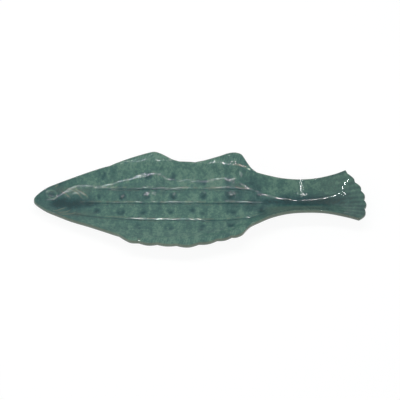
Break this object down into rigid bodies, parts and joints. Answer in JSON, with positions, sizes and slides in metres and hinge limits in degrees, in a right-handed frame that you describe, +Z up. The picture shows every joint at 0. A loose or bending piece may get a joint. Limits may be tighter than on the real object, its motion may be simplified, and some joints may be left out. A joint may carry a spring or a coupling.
{
  "type": "fish shaped platter",
  "caption": "Long shallow stoneware serving platter in the shape of a fish, with fins, a scalloped tail, grooves and dimples under a glossy glaze, on an oval foot.",
  "frame": {"origin": "bottom centre of the bounding box: on the table, under the middle of the fish", "axes": "+X from nose to tail, +Y towards the two back fins, +Z up out of the dish"},
  "size_m": [0.4794, 0.1662, 0.0321],
  "materials": {
    "stoneware": "matte, fine sandy grit",
    "glaze": "glossy green-blue celadon, darker where it pools",
    "foot_clay": "matte, bare and worn smooth where it stands"
  },
  "bodies": {
    "root": {"stoneware_body": "stoneware", "glaze_coat": "glaze", "foot_ring": "foot_clay"}
  },
  "joints": []
}
